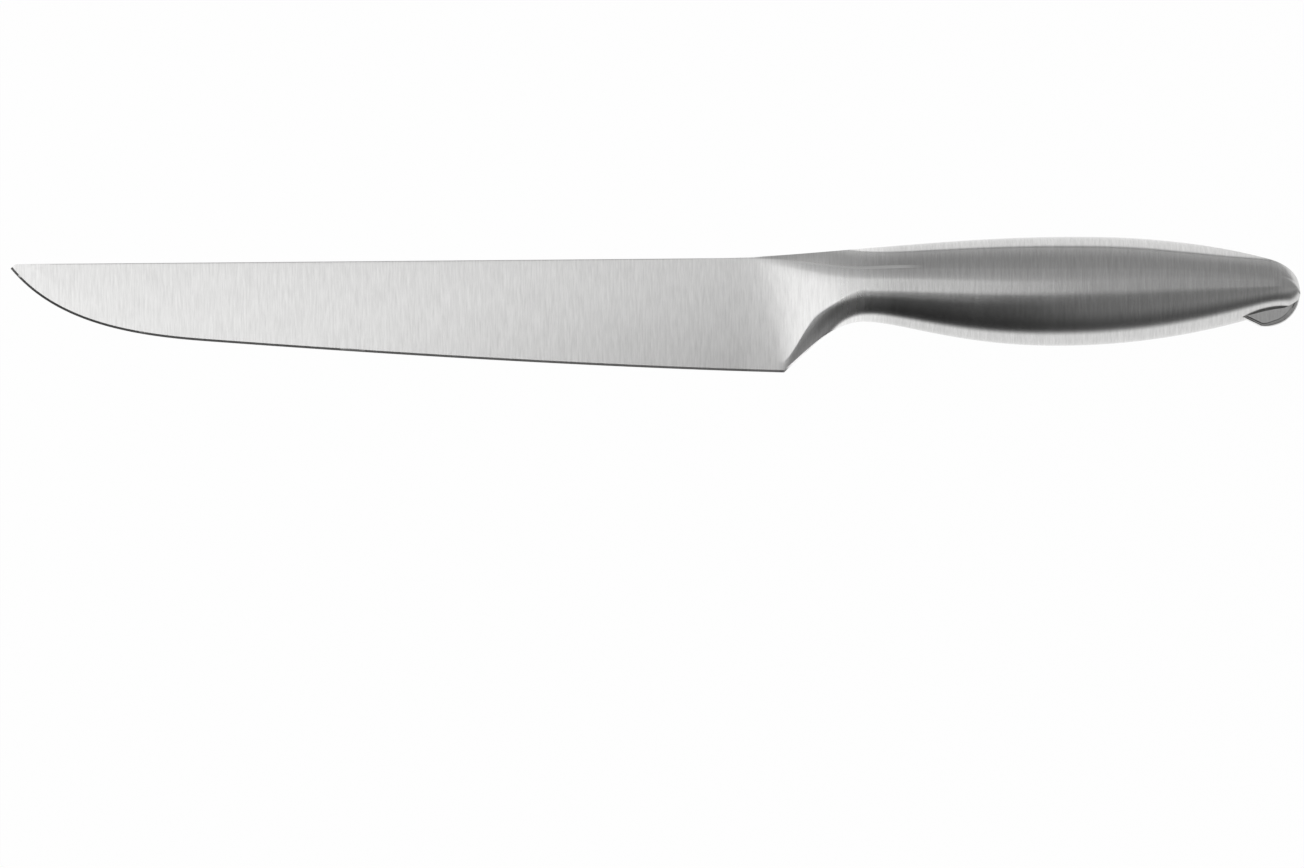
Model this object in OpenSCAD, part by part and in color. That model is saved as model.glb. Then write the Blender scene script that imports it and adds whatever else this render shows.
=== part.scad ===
// Carving knife with a forged bolster and a hollow steel handle.
// The knife lies on its side: X runs along it from tip to butt, Y runs from edge to spine, Z is thickness.
// Inside the modules X is measured from the heel, Y from the spine line and Z from the middle plane.

/* [Blade] */
// Length of the blade from tip to heel
blade_l = 200; // [160:1:240]
// Height of the blade at the heel
heel_h = 29.7; // [27:0.1:33]
// Distance from the tip at which the edge starts to sweep up
belly_l = 50; // [40:1:65]
// Height of the blade where the edge starts to sweep up
belly_h = 20.3; // [18:0.1:23]
// How far the point lies below the spine
tip_drop = 1.1; // [0.8:0.1:3]
// Angle between the edge and the spine at the point
tip_angle = 51; // [45:1:65]
// Thickness of the spine at the heel
spine_t = 2.5; // [2.2:0.1:3.2]
// Thickness that the flat grind would leave at the point's end of the spine
tip_t = 1.7; // [1.3:0.1:1.9]
// Width of the sharpened bevel along the edge
bevel_w = 0.6; // [0.4:0.1:1.2]
// Thickness of the blade at the top of the sharpened bevel
bevel_t = 0.47; // [0.4:0.01:0.6]
// Width of the thinned band above the bevel, which fades out towards the heel
thin_w = 4.3; // [3:0.1:6]

/* [Bolster] */
// Distance before the heel at which the spine starts to rise
rise_l = 20; // [16:1:26]
// Distance before the heel at which the spine starts to thicken
spine_cove_l = 8; // [4:0.5:14]
// Distance before the heel at which the heel corner starts to thicken
heel_cove_l = 2; // [0.5:0.5:3.5]
// Distance from the heel at which the back has its full thickness
spine_full_x = 22; // [20:0.5:23]
// Distance from the heel at which the underside has its full thickness
choil_full_x = 18; // [15:0.5:22]
// Distance from the heel to the narrowest place of the neck
neck_x = 20.5; // [18:0.5:23]
// Depth of the neck's underside below the spine line
neck_drop = 16.75; // [15:0.05:19]
// Thickness of the neck
neck_w = 12.4; // [11.4:0.1:14]
// Height of the curved back of the neck, down to its flat side
neck_roof = 8.1; // [7:0.1:9]
// Height of the rounded underside of the neck, up to its flat side
neck_under = 8.5; // [7:0.1:9]
// Height of the bolster's rounded underside at the heel
heel_under = 2.2; // [1.5:0.1:3]
// Distance from the heel over which that height grows to the neck's
under_grow_x = 9; // [6:0.5:12]
// Angle around the back at which the spine's corner runs on into the handle
crease_angle = 68; // [60:1:76]
// How sharply the back meets the side along that corner, in degrees
crease_fold = 22; // [0:1:30]
// Distance from the heel at which that corner has faded out
crease_end_x = 46; // [38:1:60]
// Angle around the bolster's back at which its flat middle starts
top_turn = 30; // [20:1:40]
// Angle around the bolster's underside at which it leaves the side, along a soft corner
choil_fold = 30; // [20:1:40]
// Angle around the bolster's underside at which its flat middle starts
choil_turn = 66; // [55:1:75]
// Distance from the heel up to which the back is flat in its middle
top_flat_x = 6; // [3:0.5:10]
// Distance from the heel at which the back has become round
top_round_x = 34; // [30:0.5:40]
// Distance from the heel up to which the underside is flat in its middle
choil_flat_x = 9; // [6:0.5:12]
// Distance from the heel at which the underside has become round
choil_round_x = 24; // [20:0.5:30]

/* [Handle] */
// Length of the handle from the heel to the butt
handle_l = 133.5; // [125:0.5:145]
// Distance from the heel to the tallest place of the handle
swell_x = 72; // [64:1:80]
// Height of the handle's back above the spine line at its tallest place
crown = 4.8; // [3:0.1:7]
// Depth of the handle's belly below the spine line at its tallest place
palm_drop = 23.4; // [21:0.1:26]
// Thickness of the handle at its thickest place
handle_w = 20.5; // [18:0.1:23]
// Distance from the heel to the thickest place
thick_x = 78; // [70:1:88]
// Thickness that the handle's sides would leave at the butt without its rounded end
butt_w = 17; // [15:0.1:19]
// How far the back falls from its tallest place to the butt
back_fall = 8.7; // [7:0.1:10]
// How far the belly rises from its lowest place to the butt
palm_rise = 10.4; // [9:0.1:12]
// Depth of the butt's end point below the spine line
butt_drop = 10.8; // [10:0.1:12]
// Length over which the butt is rounded in height
butt_run = 9.2; // [6:0.1:12]
// Length over which the butt is rounded in thickness
butt_plan_run = 8; // [7:0.1:12]
// Angle around the back at which its flat middle starts near the butt
butt_top_turn = 46; // [40:1:55]
// Distance from the butt up to which the back is round
butt_round_l = 36; // [30:0.5:40]
// Distance from the butt at which the back has its flat middle
butt_flat_l = 0; // [0:0.5:10]
// Angle around the underside at which it leaves the side at the butt
butt_fold = 10; // [5:1:15]
// Angle around the underside at which its flat middle starts at the butt
butt_low_turn = 42; // [36:1:50]
// Distance from the butt up to which the underside is round
low_round_l = 11; // [8:0.5:14]
// Distance from the butt at which the underside has its flat middle
low_flat_l = 0; // [0:0.5:4]

/* [Hollow handle] */
// Wall of the pressed half shells
shell_t = 1.2; // [0.8:0.1:1.6]
// Distance from the heel to the weld between bolster and shells
weld_x = 24; // [23.5:0.5:27]
// Length of the butt cap without its spigot
cap_l = 21.5; // [19:0.5:24]
// Length of the spigots that locate the shells
spigot_l = 4; // [3:0.5:6]
// Clearance between a spigot and the shells
spigot_gap = 0.1; // [0.05:0.05:0.2]
// Wall of the cap's spigot
spigot_t = 1.5; // [1:0.1:2.5]
// Thickness of solid metal at the end of the cap
cap_end = 9; // [8:0.5:12]

/* [Finger stop] */
// Radius of the beak under the butt, seen from the side
beak_r = 8.5; // [8:0.1:9.5]
// Depth of the beak's centre below the spine line
beak_drop = 10.4; // [10:0.1:11]
// Depth below the spine line down to which the butt hides the beak
beak_top = 10.8; // [10.4:0.1:12]
// Distance from the butt's end to the front tip of the beak's flat side
beak_l = 13.9; // [13:0.1:14.5]
// Depth of that tip below the spine line
beak_tip_drop = 16.9; // [16.6:0.1:17.2]
// Angle at which the beak's front face falls away from the handle
beak_angle = 26; // [20:1:30]
// Thickness of the beak between its flat sides
beak_t = 9.2; // [6:0.1:10]
// Rounding of the beak's rim
beak_edge = 0.9; // [0.4:0.1:1.4]

/* [Tang and balance weight] */
// Depth of the tang's axis below the spine line
tang_drop = 7.8; // [7:0.1:9]
// Diameter of the tang's thick root
root_d = 9; // [8:0.1:9.5]
// Distance from the heel to the shoulder that the weight seats on
shoulder_x = 40; // [36:0.5:44]
// Diameter of the tang where it carries the weight
tang_d = 6; // [5:0.1:7]
// Length of the tang that stands out behind the weight
tang_end = 4; // [2:0.5:8]
// Diameter of the balance weight
weight_d = 11; // [10:0.1:12]
// Length of the balance weight
weight_l = 26; // [18:0.5:34]
// Clearance between the weight's bore and the tang
weight_gap = 0.05; // [0.02:0.01:0.1]

/* [Hidden] */
$fn = 64;

// Points of a half section: over the back, round to the flat side, down the side and round the underside
roof_n = 6;
turn_n = 3;
side_n = 3;
under_n = 8;
// Sections along the tip, the straight edge, its end at the heel, the bolster, the shells and the cap
tip_n = 24;
edge_n = 12;
heel_n = 9;
bolster_n = 15;
shell_n = 24;
cap_n = 14;
bite = 1; // how far a cut runs past the face that it starts from

// Shares of the handle's height that its rounded back and its rounded underside take at the swell
back_share = 0.433;
under_share = 0.5;
roof_thin = 0.12; // how much lower the bolster's back gets for each mm from the neck towards the blade
// Lengths and slopes of the outline's tangents at the places where its curves meet
tip_run = 18;
belly_run = 19.5;
edge_run = 48;
belly_slope = 0.082;
heel_slope = 0.036;
choil_run = [6.2, 5.4];
neck_run = 8;
neck_run_back = 10;
palm_run = 27;
rise_run = 27;
crown_run = 34;
plan_run = 19;
plan_lift = 1.6;
// Powers of the curves that fall away to the butt and round it
back_power = 2.39;
palm_power = 2.05;
end_power = 2.92;
plan_power = 3;
end_reach = 0.999; // share of the rounding in height at which the butt's end face lies
plan_reach = 0.85; // the same for the rounding in thickness

// Places that several pieces share
tip = [-blade_l, -tip_drop];
belly = [belly_l - blade_l, -belly_h];
heel = [0, -heel_h];
neck = [neck_x, -neck_drop];
palm = [swell_x, -palm_drop];
cap_x = handle_l - cap_l;
// Slopes of the ground side, in mm of half thickness for each mm of height or length
grind = round(1000 * (spine_t - bevel_t) / 2 / (heel_h - bevel_w)) / 1000;
taper = round(1000 * (spine_t - tip_t) / 2 / blade_l) / 1000;

tip_curve = [tip, tip + tip_run * [cos(tip_angle), -sin(tip_angle)],
    belly + belly_run * [-1, belly_slope], belly];
edge_curve = [belly, belly + edge_run * [1, -belly_slope], heel + edge_run * [-1, heel_slope], heel];
choil_curve = [heel, heel + choil_run, neck - [neck_run, 0], neck];
palm_curve = [neck, neck + [neck_run_back, 0], palm - [palm_run, 0], palm];
rise_curve = [[-rise_l, 0], [rise_run - rise_l, 0], [swell_x - crown_run, crown], [swell_x, crown]];
plan_curve = [[neck_x, neck_w / 2], [neck_x + plan_run, neck_w / 2 + plan_lift],
    [thick_x - plan_run, handle_w / 2], [thick_x, handle_w / 2]];

function clamp(t) = min(max(t, 0), 1);
function mix(a, b, t) = a + (b - a) * t;
function ease(t) = let (u = clamp(t)) u * u * (3 - 2 * u);
function snap(v) = round(v * 100) / 100;

// A cubic curve, its slope, and its height at a given x
function bezier(p, t) = let (s = 1 - t)
    s * s * s * p[0] + 3 * s * s * t * p[1] + 3 * s * t * t * p[2] + t * t * t * p[3];
function bezier_way(p, t) = let (s = 1 - t)
    s * s * (p[1] - p[0]) + 2 * s * t * (p[2] - p[1]) + t * t * (p[3] - p[2]);
function bezier_t(p, x, low = 0, high = 1, steps = 24) = let (mid = (low + high) / 2)
    steps == 0 ? mid
    : bezier(p, mid)[0] < x ? bezier_t(p, x, mid, high, steps - 1)
    : bezier_t(p, x, low, mid, steps - 1);
function height_at(p, x) = bezier(p, bezier_t(p, x))[1];

// The rounding of the butt, from 1 where it starts to 0 at the end
function end_round(x, run, power, reach) = let (u = reach * clamp((x - handle_l) / run + 1))
    pow(1 - pow(u, power), 1 / power);
function rounded(x, y) = -butt_drop + (y + butt_drop) * end_round(x, butt_run, end_power, end_reach);

// The outline seen from the side
function back_line(x) = x <= -rise_l ? 0
    : x < swell_x ? height_at(rise_curve, x)
    : crown - back_fall * pow((x - swell_x) / (handle_l - swell_x), back_power);
function under_line(x) = x < 0 ? height_at(edge_curve, x)
    : x < neck_x ? height_at(choil_curve, x)
    : x < swell_x ? height_at(palm_curve, x)
    : -palm_drop + palm_rise * pow((x - swell_x) / (handle_l - swell_x), palm_power);
function back(x) = rounded(x, back_line(x));
function under(x) = rounded(x, under_line(x));

// Half the thickness of the handle, seen from above
function side_line(x) = x <= neck_x ? neck_w / 2 + plan_lift / plan_run * (x - neck_x)
    : x < thick_x ? height_at(plan_curve, x)
    : mix(handle_w, butt_w, pow((x - thick_x) / (handle_l - thick_x), 2)) / 2;
function half_w(x) = side_line(x) * end_round(x, butt_plan_run, plan_power, plan_reach);

// Heights between which the side is flat: shares of the section behind the swell, and straight to the neck
function flat_top(x) = let (y1 = back(x), tall = crown + palm_drop)
    x <= neck_x ? y1 - neck_roof + roof_thin * (neck_x - x)
    : x > swell_x ? y1 - back_share * (y1 - under(x))
    : mix(back(neck_x) - neck_roof, crown - back_share * tall, ease((x - neck_x) / (swell_x - neck_x)));
function bolster_under(x) = mix(heel_under, neck_under, ease(x / under_grow_x));
function flat_low(x) = let (y0 = under(x), tall = crown + palm_drop)
    x <= neck_x ? y0 + bolster_under(x)
    : x > swell_x ? y0 + under_share * (back(x) - y0)
    : mix(neck_under - neck_drop, under_share * tall - palm_drop, ease((x - neck_x) / (swell_x - neck_x)));
function fold(x) = crease_angle - crease_fold * (1 - ease((x - neck_x) / (crease_end_x - neck_x)));

// 1 where a section is flat in its middle, 0 where it is round
function flatness(x, flat_x, round_x) = ease((round_x - x) / (round_x - flat_x));

// That share and the angles around the section at which its flat middle starts, and where the side is left
function back_cut(x) = x < swell_x ? [flatness(x, top_flat_x, top_round_x), top_turn]
    : [flatness(x, handle_l - butt_flat_l, handle_l - butt_round_l), butt_top_turn];
function under_cut(x) = x < swell_x ? [flatness(x, choil_flat_x, choil_round_x), choil_fold, choil_turn]
    : [flatness(x, handle_l - low_flat_l, handle_l - low_round_l), butt_fold, butt_low_turn];

// Points from the back's middle to its corner with the side, and from the side to the underside's middle
function roof_point(y_mid, y_corner, z_corner, a, a0, a1) =
    [mix(y_corner, y_mid, (cos(a) - cos(a1)) / (cos(a0) - cos(a1))), z_corner * sin(a) / sin(a1)];
function roof_half(x, y_mid, y_corner, z_corner) = let (a1 = fold(x), c = back_cut(x))
    [for (k = [0:roof_n]) mix(
    roof_point(y_mid, y_corner, z_corner, a1 * k / roof_n, 0, a1),
    k == 0 ? [y_mid, 0]
    : roof_point(y_mid, y_corner, z_corner, mix(c[1], a1, (k - 1) / (roof_n - 1)), c[1], a1),
    c[0])];
function under_point(y_side, y_low, w, a, a0, a1) =
    [mix(y_side, y_low, (sin(a) - sin(a0)) / (sin(a1) - sin(a0))), w * cos(a) / cos(a0)];
function under_half(x, y_side, y_low, w) = let (c = under_cut(x)) [for (k = [1:under_n]) mix(
    under_point(y_side, y_low, w, 90 * k / under_n, 0, 90),
    k == under_n ? [y_low, 0] : under_point(y_side, y_low, w, mix(c[1], c[2], k / (under_n - 1)), c[1], c[2]),
    c[0])];

// Half the thickness of the flat-ground side at a place
function side_z(x, y) = spine_t / 2 + taper * x + grind * y;
function on_side(x, y) = let (u = snap(x), v = snap(y)) [u, v, side_z(u, v)];

// Half of a handle section as [y, z] points from the back's middle to the underside's, drawn in by inset
function handle_half(x, inset = 0) = let (
    y1 = back(x) - inset, y0 = under(x) + inset, w = half_w(x) - inset,
    yt = flat_top(x), yr = flat_low(x))
    concat(
        roof_half(x, y1, mix(yt, y1, cos(crease_angle)), w * sin(crease_angle)),
        [for (k = [1:turn_n]) let (a = mix(crease_angle, 90, k / turn_n)) [mix(yt, y1, cos(a)), w * sin(a)]],
        [for (k = [1:side_n]) [mix(yt, yr, k / side_n), w]],
        under_half(x, yr, y0, w));

// The same points on the blade's own section: crowned spine, flat side and sharpened bevel
function blade_half(x) = let (
    y1 = back(x), y0 = under(x), ys = y0 + bevel_w,
    yt = (flat_top(x) - y1) * cos(crease_angle), yr = ys + bolster_under(x))
    concat(
        roof_half(x, y1, 0, side_z(x, 0)),
        [for (k = [1:turn_n]) let (y = snap(yt * k / turn_n)) [y, side_z(x, y)]],
        [for (k = [1:side_n]) let (y = snap(mix(yt, yr, k / side_n))) [y, side_z(x, y)]],
        [for (k = [1:under_n - 1]) let (y = snap(mix(yr, ys, k / (under_n - 1)))) [y, side_z(x, y)]],
        [[y0, 0]]);

// Share of the handle's section at a place of the bolster: 0 on the flat blade, 1 on the neck
function cove(x, y) = let (low = clamp(-y / heel_h), start = mix(-spine_cove_l, -heel_cove_l, low),
    full = mix(spine_full_x, choil_full_x, low)) ease((x - start) / (full - start));
function bolster_half(x) = let (flat = blade_half(x), full = handle_half(x))
    [for (k = [0:len(flat) - 1]) mix(flat[k], full[k], cove(x, flat[k][0]))];

// A closed ring from half a ring, and a ring at x from half a section
function closed(half) = concat(half, [for (k = [len(half) - 2:-1:1]) [half[k][0], half[k][1], -half[k][2]]]);
function ring(x, half) = closed([for (p = half) [x, p[0], p[1]]]);

// Half a ring across the blade, square to its edge at e: crowned spine, flat side, thinned band and bevel
function ground_half(e, n) = let (
    depth = -e[1] / n[1],
    band = min(bevel_w + thin_w, 0.7 * depth),
    bevel = min(bevel_w, 0.35 * depth),
    s = e + n * bevel, b = e + n * band, p = e + n * depth,
    zs = min(bevel_t / 2, side_z(s[0], s[1])) * bevel / bevel_w,
    zb = min(side_z(b[0], b[1]), mix(zs, side_z(b[0], b[1]), (band - bevel) / thin_w)),
    zp = min(side_z(p[0], 0), mix(zs, side_z(p[0], 0), (depth - bevel) / thin_w)),
    top = placed(p, zp), low = placed(b, zb), sharp = placed(s, zs), flat_n = turn_n + side_n)
    concat(
        [for (k = [0:roof_n]) [top[0], top[1], top[2] * k / roof_n]],
        [for (k = [1:flat_n]) placed(mix(p, b, k / flat_n), mix(zp, zb, k / flat_n))],
        [for (k = [1:under_n - 1]) k < under_n - 1 ? between(low, sharp, k / (under_n - 1)) : sharp],
        [[e[0], e[1], 0]]);

// A point at half thickness z, moved onto the flat-ground side if it lies there
function placed(p, z) = abs(z - side_z(p[0], p[1])) > 0.0001 ? [p[0], p[1], z] : on_side(p[0], p[1]);
function between(a, b, share) = let (p = mix(a, b, share)) placed([p[0], p[1]], p[2]);

function square_to(way) = [-way[1], way[0]] / norm(way);
function tip_rings() = [for (k = [0:tip_n - 1]) let (t = k / tip_n)
    closed(ground_half(bezier(tip_curve, t), square_to(bezier_way(tip_curve, t))))];
function edge_rings() = let (last = bezier_t(edge_curve, -rise_l))
    [for (k = [0:edge_n - 1]) let (share = k / edge_n, t = last * share)
        closed(ground_half(bezier(edge_curve, t), square_to([1, -belly_slope * (1 - share)])))];
function bolster_x() = concat([for (k = [0:heel_n - 1]) -rise_l * (1 - k / heel_n)],
    [for (k = [0:bolster_n]) weld_x * k / bolster_n]);
function bolster_rings() = [for (x = bolster_x()) ring(snap(x), bolster_half(snap(x)))];

// A solid through rings that all have as many points. Its two end faces start at the underside's middle.
module loft(rings) {
    n = len(rings[0]);
    last = (len(rings) - 1) * n;
    polyhedron([for (r = rings) each r], concat(
        [[for (j = [0:n - 1]) (n / 2 + j) % n]],
        [[for (j = [n:-1:1]) last + (n / 2 + j) % n]],
        [for (i = [0:len(rings) - 2], j = [0:n - 1])
            let (a = i * n + j, b = i * n + (j + 1) % n) each [[a, a + n, b + n], [a, b + n, b]]]));
}

module handle_loft(x0, x1, inset, steps) {
    loft([for (k = [0:steps]) let (x = mix(x0, x1, k / steps)) ring(x, handle_half(x, inset))]);
}

// Moves the knife so that it lies on the floor with its middle over the origin
module laid_down() {
    translate([(blade_l - handle_l) / 2, (heel_h - crown) / 2, handle_w / 2]) children();
}

module along_x(x) {
    translate([x, -tang_drop, 0]) rotate([0, 90, 0]) children();
}

module tang() {
    root_x = weld_x + spigot_l / 2;
    along_x(root_x) cylinder(h = shoulder_x - root_x, d = root_d);
    along_x(shoulder_x - bite) cylinder(h = bite + weight_l + tang_end, d = tang_d);
}

module blade() color("silver") laid_down() union() {
    loft(concat(tip_rings(), edge_rings(), bolster_rings()));
    handle_loft(weld_x - bite, weld_x + spigot_l, shell_t + spigot_gap, 4);
    tang();
}

// One half shell: an outer and an inner skin joined by the faces that meet the other half
module handle_shell(side) {
    outer = [for (k = [0:shell_n]) let (x = mix(weld_x, cap_x, k / shell_n)) [x, handle_half(x)]];
    inner = [for (k = [0:shell_n]) let (x = mix(weld_x, cap_x, k / shell_n)) [x, handle_half(x, shell_t)]];
    m = len(outer[0][1]);
    n = 2 * m;
    last = shell_n * n;
    points = [for (k = [0:shell_n]) each concat(
        [for (p = outer[k][1]) [outer[k][0], p[0], side * p[1]]],
        [for (j = [m - 1:-1:0]) let (p = inner[k][1][j]) [inner[k][0], p[0], side * p[1]]])];
    skin = [for (i = [0:shell_n - 1], j = [0:n - 1])
        let (a = i * n + j, b = i * n + (j + 1) % n) each [[a, a + n, b + n], [a, b + n, b]]];
    ends = [for (j = [0:m - 2]) let (a = j, b = j + 1, c = n - 2 - j, d = n - 1 - j)
        each [[a, b, c], [a, c, d], [last + a, last + c, last + b], [last + a, last + d, last + c]]];
    faces = concat(skin, ends);
    polyhedron(points, side > 0 ? faces : [for (f = faces) [f[2], f[1], f[0]]]);
}

module handle_shell_left() color("lightsteelblue") laid_down() handle_shell(1);

module handle_shell_right() color("lightgray") laid_down() handle_shell(-1);

// The beak is the lower part of a disc with rounded rims and flat sides, cut off flat in front
module beak() {
    rim_x = beak_r - beak_edge;
    rim_z = beak_t / 2 - beak_edge;
    rim = [for (a = [0:15:90]) [rim_x + beak_edge * cos(a), rim_z + beak_edge * sin(a)]];
    outline = concat([[0, beak_t / 2]], [for (k = [len(rim) - 1:-1:0]) rim[k]],
        [for (p = rim) [p[0], -p[1]]], [[0, -beak_t / 2]]);
    intersection() {
        translate([handle_l - beak_r, -beak_drop, 0]) rotate_extrude() polygon(outline);
        translate([cap_x, -beak_top - 2 * beak_r, -beak_t]) cube([2 * cap_l, 2 * beak_r, 2 * beak_t]);
        translate([handle_l - beak_l, -beak_tip_drop, -beak_t]) rotate(-beak_angle)
            cube([3 * beak_r, 2 * beak_r, 2 * beak_t]);
    }
}

module butt_cap() color("gainsboro") laid_down() {
    fit = shell_t + spigot_gap;
    difference() {
        union() {
            loft([for (k = [0:cap_n]) let (x = mix(cap_x, handle_l, sin(90 * k / cap_n)))
                ring(x, handle_half(x))]);
            handle_loft(cap_x - spigot_l, cap_x + bite, fit, 4);
            beak();
        }
        handle_loft(cap_x - spigot_l - bite, handle_l - cap_end, fit + spigot_t, 6);
    }
}

module balance_weight() color("dimgray") laid_down() along_x(shoulder_x) difference() {
    cylinder(h = weight_l, d = weight_d);
    translate([0, 0, -bite]) cylinder(h = weight_l + 2 * bite, d = tang_d + 2 * weight_gap);
}

blade();
handle_shell_left();
handle_shell_right();
butt_cap();
balance_weight();
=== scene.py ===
import math
from collections import Counter

import bmesh
import bpy
import numpy as np
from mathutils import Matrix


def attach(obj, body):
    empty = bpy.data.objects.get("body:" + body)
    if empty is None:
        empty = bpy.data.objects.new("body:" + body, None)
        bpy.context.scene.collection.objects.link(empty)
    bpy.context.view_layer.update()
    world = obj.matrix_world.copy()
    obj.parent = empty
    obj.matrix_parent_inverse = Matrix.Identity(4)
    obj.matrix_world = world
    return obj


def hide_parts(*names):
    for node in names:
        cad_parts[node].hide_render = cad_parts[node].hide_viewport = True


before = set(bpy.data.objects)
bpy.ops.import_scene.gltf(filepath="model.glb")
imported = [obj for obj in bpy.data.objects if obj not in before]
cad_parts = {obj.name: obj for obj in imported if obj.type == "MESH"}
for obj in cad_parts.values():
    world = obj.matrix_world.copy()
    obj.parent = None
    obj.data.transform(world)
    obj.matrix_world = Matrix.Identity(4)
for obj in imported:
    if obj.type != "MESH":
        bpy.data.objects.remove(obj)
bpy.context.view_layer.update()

# Sizes are in millimetres up to the making of a mesh, as in the part's own source.
MM = 0.001

# Blade
BLADE_L = 200.0          # from the point to the heel
HEEL_H = 29.7            # height at the heel
BELLY_L = 50.0           # from the point to where the upswept part of the edge ends
BELLY_H = 20.3           # height there
TIP_DROP = 1.1           # how far the point lies below the spine
TIP_ANGLE = 51.0         # between the edge and the spine at the point
SPINE_T = 2.5            # thickness of the spine at the heel
BEVEL_W = 0.6            # width of the sharpened bevel
BEVEL_T = 0.47           # thickness of the blade at its top
THIN_W = 4.3             # width of the thinned band above the bevel
BEVEL_SHARE = 0.35       # of the blade's depth near the point that the bevel takes at most
THIN_SHARE = 0.7         # the same for the bevel and the band together
GRIND = 0.035            # slope of the ground side across the blade
TAPER = 0.002            # and along it

# Bolster, at distances from the heel
RISE_L = 20.0            # before it, where the spine starts to rise
SPINE_COVE_L = 8.0       # before it, where the spine starts to thicken
HEEL_COVE_L = 2.0        # before it, where the heel's corner starts to thicken
SPINE_FULL_X = 22.0      # where the back has its full thickness
CHOIL_FULL_X = 18.0      # where the underside has its full thickness
NECK_X = 20.5            # the narrowest place of the neck
NECK_DROP = 16.75        # depth of the neck's underside below the spine line
NECK_W = 12.4            # thickness of the neck
NECK_ROOF = 8.1          # height of its curved back, down to the flat side
ROOF_THIN = 0.12         # how much less that is for each millimetre towards the blade
NECK_UNDER = 8.5         # height of its rounded underside, up to the flat side
BOLSTER_UNDER = 6.9      # the same between the neck and the heel
HEEL_UNDER = 2.2         # and at the heel
UNDER_GROW_X = (0.0, 9.0, 13.0, 22.0)    # it grows from the heel's between the first two, then to the neck's
CREASE_ANGLE = 68.0      # around the back, at which the spine's corner runs on into the handle
CREASE_FOLD = 22.0       # how sharply the back meets the side along that corner
CREASE_END_X = 46.0      # where that corner has faded out
TOP_TURN = 30.0          # angle around the back at which its flat middle starts
CHOIL_FOLD = 30.0        # angle around the underside at which it leaves the side, along a soft corner
CHOIL_TURN = 66.0        # angle around the underside at which its flat middle starts
TOP_FLAT_X = 6.0         # up to where the back is flat in its middle
TOP_ROUND_X = 34.0       # where it has become round
CHOIL_FLAT_X = 9.0       # the same two places for the underside
CHOIL_ROUND_X = 24.0

# Handle
HANDLE_L = 133.5         # from the heel to the butt
SWELL_X = 72.0           # from the heel to its tallest place
CROWN = 4.8              # height of its back above the spine line there
PALM_DROP = 23.4         # depth of its underside below the spine line there
HANDLE_W = 20.5          # thickness at its thickest place
THICK_X = 78.0           # from the heel to that place
BUTT_W = 17.0            # thickness that its sides would leave at the butt without the rounded end
BACK_FALL = 8.7          # how far the back falls from the tallest place to the butt
PALM_RISE = 10.4         # how far the underside rises
BACK_POWER = 2.39        # powers that the fall and the rise follow
PALM_POWER = 2.05
BACK_SHARE = 0.433       # of the height that the curved back takes from the tallest place on
UNDER_SHARE = 0.5        # the same for the rounded underside
BUTT_DROP = 10.8         # depth of the butt's end point below the spine line
BUTT_RUN = 9.2           # length over which the butt is rounded in height
BUTT_PLAN_RUN = 8.0      # and in thickness
END_POWER = 2.92         # powers that the two roundings follow
PLAN_POWER = 3.0
END_REACH = 0.999        # and how far each goes on
PLAN_REACH = 0.85
BUTT_TOP_TURN = 46.0     # angle around the back at which its flat middle starts near the butt
BUTT_FOLD = 10.0         # angle around the underside at which it leaves the side at the butt
BUTT_LOW_TURN = 42.0     # angle around the underside at which its flat middle starts at the butt
BUTT_ROUND_L = 36.0      # from the butt: up to where the back is round
BUTT_FLAT_L = 0.0        # and where it has its flat middle
LOW_ROUND_L = 11.0       # the same two distances for the underside
LOW_FLAT_L = 0.0

# Hollow handle, finger stop and tang
SHELL_T = 1.2            # wall of the half shells
WELD_X = 24.0            # from the heel to the weld between bolster and shells
CAP_X = HANDLE_L - 21.5  # from the heel to the butt cap
SPIGOT_L = 4.0           # length of the spigots that locate the shells
FIT = SHELL_T + 0.1      # depth of a spigot's outside below the handle's surface
SPIGOT_T = 1.5           # wall of the cap's spigot
CAP_END = 9.0            # thickness of the cap's solid end
CAP_HOLLOW_L = 4.0       # from the cap's front to a section between the ends of its hollow
BEAK_R = 8.5             # radius of the beak, seen from the side
BEAK_DROP = 10.4         # depth of its centre below the spine line
BEAK_TOP = 10.8          # depth down to which the butt hides it
BEAK_T = 9.2             # thickness between its flat sides
BEAK_EDGE = 0.9          # rounding of its rim
BEAK_EDGE_TURN = 0.5     # radians from its front corner over which the rim gets that round
BEAK_L = 13.9            # from the butt's end to the front tip of its flat side
BEAK_TIP_DROP = 16.9     # depth of that tip below the spine line
BEAK_ANGLE = 26.0        # at which its front face falls away from the handle
FRONT_EDGE = 0.35        # rounding of its front edges
BEAK_SUNK = 1.2          # how far it runs on inside the butt
TANG_DROP = 7.8          # depth of the tang's axis below the spine line
ROOT_D = 9.0             # diameter of its thick root
SHOULDER_X = 40.0        # from the heel to the shoulder that the weight seats on
TANG_D = 6.0             # diameter where it carries the weight
TANG_X1 = 70.0           # from the heel to its end

# How far the outline's curves run along the tangents at their ends, and the slopes of two of these
TIP_RUN = 18.0
BELLY_RUN = 19.5
EDGE_RUN = 48.0
BELLY_SLOPE = 0.082
HEEL_SLOPE = 0.036
CHOIL_RUN = (6.2, 5.4)
NECK_RUN = 8.0
NECK_RUN_BACK = 10.0
PALM_RUN = 27.0
RISE_RUN = 27.0
CROWN_RUN = 34.0
PLAN_RUN = 19.0
PLAN_LIFT = 1.6          # how much half the neck's width grows over PLAN_RUN

# Where the model's heel, spine line and middle plane lie in the frame
SHIFT = np.array([(BLADE_L - HANDLE_L) / 2, (HEEL_H - CROWN) / 2, HANDLE_W / 2])

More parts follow.
